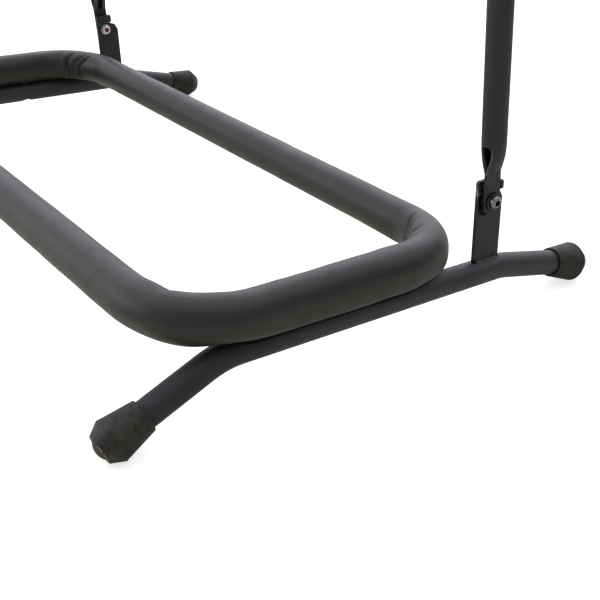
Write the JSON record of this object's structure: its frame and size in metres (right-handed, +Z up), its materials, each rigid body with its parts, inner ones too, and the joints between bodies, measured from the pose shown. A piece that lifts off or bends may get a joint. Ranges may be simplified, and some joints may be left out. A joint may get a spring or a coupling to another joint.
{
  "type": "multi guitar stand",
  "caption": "Free-standing guitar rack: foam-padded rectangular base loop on bent feet with rubber caps, and a fold-down upper frame with a padded neck bar and padded dividers.",
  "frame": {"origin": "on the floor, under the middle of the stand's bounding box", "axes": "+X along the stand, to the right as seen from the front; -Y to the front, where the guitars go in; +Z up"},
  "size_m": [0.73, 0.4884, 0.6846],
  "materials": {
    "black_steel": "matte",
    "foam": "matte",
    "cap_rubber": "matte",
    "tip_rubber": "matte",
    "bolt_steel": "satin",
    "black_nylon": "matte",
    "zinc_steel": "satin"
  },
  "bodies": {
    "base": {"foot_tube_right": "black_steel", "foot_tube_left": "black_steel", "foot_cap_front_right": "cap_rubber", "foot_cap_rear_right": "cap_rubber", "foot_cap_front_left": "cap_rubber", "foot_cap_rear_left": "cap_rubber", "pivot_bracket_right": "black_steel", "pivot_bracket_left": "black_steel", "loop_tube_right": "black_steel", "loop_tube_left": "black_steel", "loop_spigots": "zinc_steel", "loop_spigot_rivets": "zinc_steel", "loop_foam_right": "foam", "loop_foam_left": "foam", "loop_bolts": "zinc_steel", "loop_saddle_washers": "zinc_steel", "loop_spacers": "black_steel", "loop_rivet_nuts": "zinc_steel", "pivot_bolt_right": "bolt_steel", "pivot_bolt_left": "bolt_steel", "pivot_head_washers": "black_nylon", "pivot_friction_washers": "black_nylon", "pivot_back_washers": "zinc_steel", "pivot_lock_nuts": "zinc_steel"},
    "upper_frame": {"upper_frame_tube": "black_steel", "neck_divider_rod_1": "black_steel", "neck_divider_rod_2": "black_steel", "neck_divider_rod_3": "black_steel", "neck_divider_rod_4": "black_steel", "neck_divider_rod_5": "black_steel", "neck_divider_rod_6": "black_steel", "neck_divider_foam_1": "foam", "neck_divider_foam_2": "foam", "neck_divider_foam_3": "foam", "neck_divider_foam_4": "foam", "neck_divider_foam_5": "foam", "neck_divider_foam_6": "foam", "neck_divider_tip_1": "tip_rubber", "neck_divider_tip_2": "tip_rubber", "neck_divider_tip_3": "tip_rubber", "neck_divider_tip_4": "tip_rubber", "neck_divider_tip_5": "tip_rubber", "neck_divider_tip_6": "tip_rubber", "neck_bar_foam_1": "foam", "neck_bar_foam_2": "foam", "neck_bar_foam_3": "foam", "neck_bar_foam_4": "foam", "neck_bar_foam_5": "foam"}
  },
  "joints": [
    {"name": "frame_fold", "type": "hinge", "parent": "base", "child": "upper_frame", "pos_m": [0, 0.1134, 0.10769], "axis": [1, 0, 0], "range_deg": [0, 85]}
  ]
}
